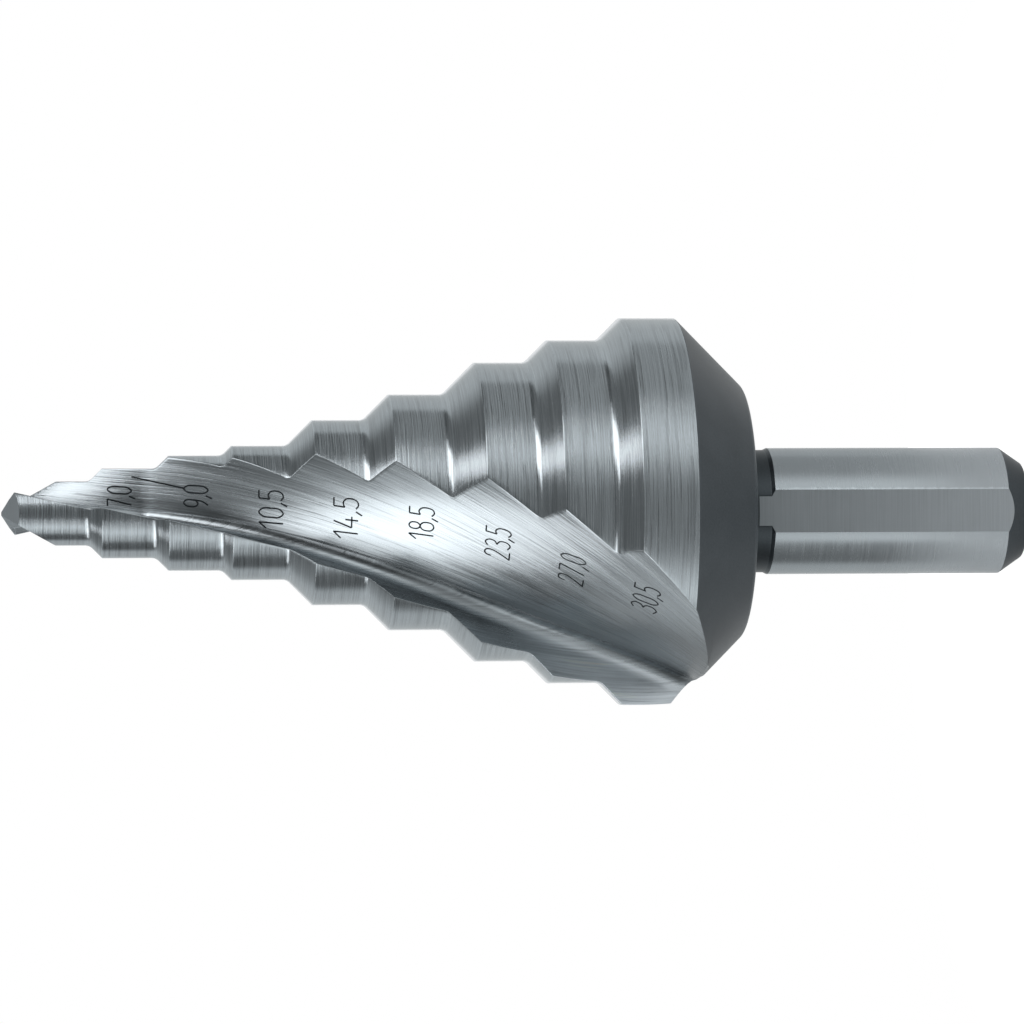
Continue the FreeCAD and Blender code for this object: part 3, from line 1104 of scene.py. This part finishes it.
def number_strokes():
    """All strokes of the size numbers as chains of edges in front of the drill."""
    points, edges = [], []

    def add(stroke):
        first = len(points)
        closed = stroke[0] == stroke[-1]
        for across, along in stroke[:-1] if closed else stroke:
            points.append((across * MM, -IN_FRONT, along * MM))
        for here in range(first, len(points) - 1):
            edges.append((here, here + 1))
        if closed:
            edges.append((len(points) - 1, first))

    for text, across, along, length, lean in NUMBERS:
        width = sum(FIGURES[figure][0] for figure in text) + FIGURE_GAP * (len(text) - 1)
        scale = length / width
        slant = math.tan(math.radians(lean))
        start = across - length / 2
        for figure in text:
            wide, strokes = FIGURES[figure]
            for stroke in strokes:
                rises = [(y - 0.5) * NUMBER_HEIGHT for _, y in stroke]
                add([
                    (start + x * scale + rise * slant, along + rise)
                    for (x, _), rise in zip(stroke, rises)
                ])
            start += (wide + FIGURE_GAP) * scale
    add(SCRATCH)
    mesh = bpy.data.meshes.new("number_strokes")
    mesh.from_pydata(points, edges, [])
    return mesh


def mark_tree(material):
    """Lays strokes on the drill from the front and gives them a round, half sunk body."""
    tree, inputs = new_tree(
        "etched_marks",
        {"Strokes": "Geometry", "Drill": "Object", **dict.fromkeys(STROKE_SIZES, "Float")},
        "Marks",
    )
    line = output(tree, "GeometryNodeMeshToCurve", Mesh=inputs["Strokes"])
    kind = {"spline_type": "CATMULL_ROM"}
    line = output(tree, "GeometryNodeCurveSplineType", kind, Curve=line)
    mode = {"mode": "LENGTH"}
    spacing = inputs["Spacing"]
    line = output(tree, "GeometryNodeResampleCurve", mode, Curve=line, Length=spacing)
    drill_shape = node_of(tree, "GeometryNodeObjectInfo", Object=inputs["Drill"])
    position = output(tree, "GeometryNodeInputPosition")
    ray = node_of(
        tree, "GeometryNodeRaycast", Target_Geometry=drill_shape.outputs["Geometry"],
        Source_Position=position, Ray_Direction=(0, 1, 0), Ray_Length=IN_FRONT,
    )
    inward = output(
        tree, "ShaderNodeVectorMath", {"operation": "SCALE"}, Vector=ray.outputs["Hit Normal"],
        Scale=-Term(tree, inputs["Sink"]),
    )
    spot = node_of(tree, "ShaderNodeVectorMath")
    tree.links.new(ray.outputs["Hit Position"], spot.inputs[0])
    tree.links.new(inward, spot.inputs[1])
    line = output(tree, "GeometryNodeSetPosition", Geometry=line, Position=spot.outputs[0])
    ring = output(
        tree, "GeometryNodeCurvePrimitiveCircle", Resolution=STROKE_SIDES,
        Radius=inputs["Stroke Radius"],
    )
    body = output(
        tree, "GeometryNodeCurveToMesh", Curve=line, Profile_Curve=ring, Fill_Caps=True
    )
    body = output(tree, "GeometryNodeRealizeInstances", Geometry=body)
    body = output(tree, "GeometryNodeSetMaterial", Geometry=body, Material=material)
    node_of(tree, "NodeGroupOutput", Marks=body)
    return tree


numbers = grow(
    "size_numbers", number_strokes(), mark_tree(MARK), {**STROKE_SIZES, "Drill": drill}
)
smooth(numbers, MARK_SHARP)
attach(numbers, "root")


def add_camera():
    lens = bpy.data.cameras.new("camera")
    camera = add_object("camera", lens)
    bpy.context.scene.camera = camera
    lens.sensor_width = SENSOR_WIDTH
    lens.lens = PIXELS_PER_MM * CAMERA_DISTANCE / MM / PICTURE_WIDTH * SENSOR_WIDTH
    lens.clip_start, lens.clip_end = CAMERA_REACH
    back = Vector((0, -math.cos(CAMERA_YAW), math.sin(CAMERA_YAW)))
    level = (Vector((0, 0, -1)) - back * -back.z).normalized()
    raised = back.cross(level)
    right = level * math.cos(CAMERA_ROLL) - raised * math.sin(CAMERA_ROLL)
    up = level * math.sin(CAMERA_ROLL) + raised * math.cos(CAMERA_ROLL)
    camera.rotation_euler = Matrix((right, up, back)).transposed().to_euler()
    camera.location = Vector((0, 0, CAMERA_FOCUS)) + back * CAMERA_DISTANCE


def ray_kinds(tree):
    """Which rays come straight from the camera, and which by way of gloss or glass."""
    path = tree.nodes.new("ShaderNodeLightPath")
    camera, glossy, through = (
        Term(tree, path.outputs[f"Is {kind} Ray"]) for kind in ("Camera", "Glossy", "Transmission")
    )
    return camera, glossy.max(through)


def band(term, spread, later=0.0, longer=0.0):
    """0, then 1, then 0 again along a term, with the start and the end shifted."""
    start, full, fading, end = spread
    return ramp(term - later, start, full) * (1.0 - ramp(term - longer, fading, end))


def add_world():
    """A dim studio with a wide pale area behind the drill, and a white backdrop in it."""
    world = bpy.data.worlds.new("studio")
    bpy.context.scene.world = world
    world.use_nodes = True
    tree = world.node_tree
    tree.nodes.clear()
    direction = tree.nodes.new("ShaderNodeTexCoord").outputs["Generated"]
    side, away, rise = split(tree, direction)
    camera, mirrored = ray_kinds(tree)
    turn = direction_of((-away, side)) * math.degrees(1)
    table = 1.0 - ramp(rise, *TABLE_RISE)
    lean = ramp(rise, *UPPER_LEAN_RISE)
    upper = UPPER_GLOW * band(turn, UPPER_SPREAD, UPPER_START_LEAN * lean, UPPER_END_LEAN * lean)
    flank = FLANK_GLOW * band(turn, FLANK_SPREAD) * table
    lean = LOWER_END_LEAN * ramp(rise, *LOWER_LEAN_RISE)
    lower = LOWER_GLOW * band(-turn, LOWER_SPREAD, longer=lean)
    glows = band(rise, GLOW_RISE) * (upper + flank + lower)
    table = table * (1.0 - TABLE_LOWER_DIM * ramp(-side, *TABLE_LOWER))
    level = DIM_ROOM + TABLE_LIGHT * table + LOW_LIGHT * (1.0 - ramp(rise, *LOW_RISE))
    level = level + HIGH_LIGHT * ramp(rise, *HIGH_RISE) + glows
    behind = pick(side > 0.0, ramp(away, *PALE_UPPER), ramp(away, *PALE_LOWER))
    pale = PALE_ROOM * (1.0 - PALE_TOP_DIM * ramp(rise, *PALE_TOP))
    level = pick(behind, pale, level)
    seen = output(tree, "ShaderNodeBackground", Color=WHITE, Strength=1.0)
    around = output(tree, "ShaderNodeBackground", Color=ROOM_COLOUR, Strength=level)
    blend = tree.nodes.new("ShaderNodeMixShader")
    share = camera.max(mirrored * ramp(away, *BACKDROP))
    tree.links.new(share.socket, blend.inputs["Fac"])
    tree.links.new(around, blend.inputs[1])
    tree.links.new(seen, blend.inputs[2])
    node_of(tree, "ShaderNodeOutputWorld", Surface=blend.outputs[0])


def add_floor():
    """A small round white table top that keeps the drill's shadow."""
    shape = bmesh.new()
    bmesh.ops.create_circle(shape, cap_ends=True, radius=FLOOR_RADIUS, segments=FLOOR_SIDES)
    mesh = bpy.data.meshes.new("floor")
    shape.to_mesh(mesh)
    shape.free()
    floor = add_object("floor", mesh)
    material = bpy.data.materials.new("white_floor")
    material.use_nodes = True
    tree = material.node_tree
    shader = tree.nodes["Principled BSDF"]
    shader.inputs["Base Color"].default_value = FLOOR_COLOUR
    shader.inputs["Roughness"].default_value = FLOOR_ROUGHNESS
    shader.inputs["Emission Color"].default_value = WHITE
    camera, mirrored = ray_kinds(tree)
    bright = (camera * FLOOR_GLOW).max(mirrored * FLOOR_MIRRORED)
    tree.links.new(bright.socket, shader.inputs["Emission Strength"])
    mesh.materials.append(material)


def add_light(name, turn, lift, width, height, strength, roll):
    """An area light that faces the drill from a turn and a lift above level."""
    turn, lift, roll = math.radians(turn), math.radians(lift), math.radians(roll)
    light = bpy.data.lights.new(name, "AREA")
    light.shape = "RECTANGLE"
    light.size, light.size_y = width, height
    light.energy = strength * width * height * math.pi
    item = add_object(name, light)
    away = Vector((
        math.sin(turn) * math.cos(lift), -math.cos(turn) * math.cos(lift), math.sin(lift)
    ))
    item.location = Vector((0, 0, CAMERA_FOCUS)) + away * LIGHT_DISTANCE
    facing = away.to_track_quat("Z", "Y") @ Quaternion((0, 0, 1), roll)
    item.rotation_euler = facing.to_euler()


add_camera()
add_world()
add_floor()
for name, place in LIGHTS.items():
    add_light(name, *place)

bpy.context.scene.view_settings.view_transform = "Standard"
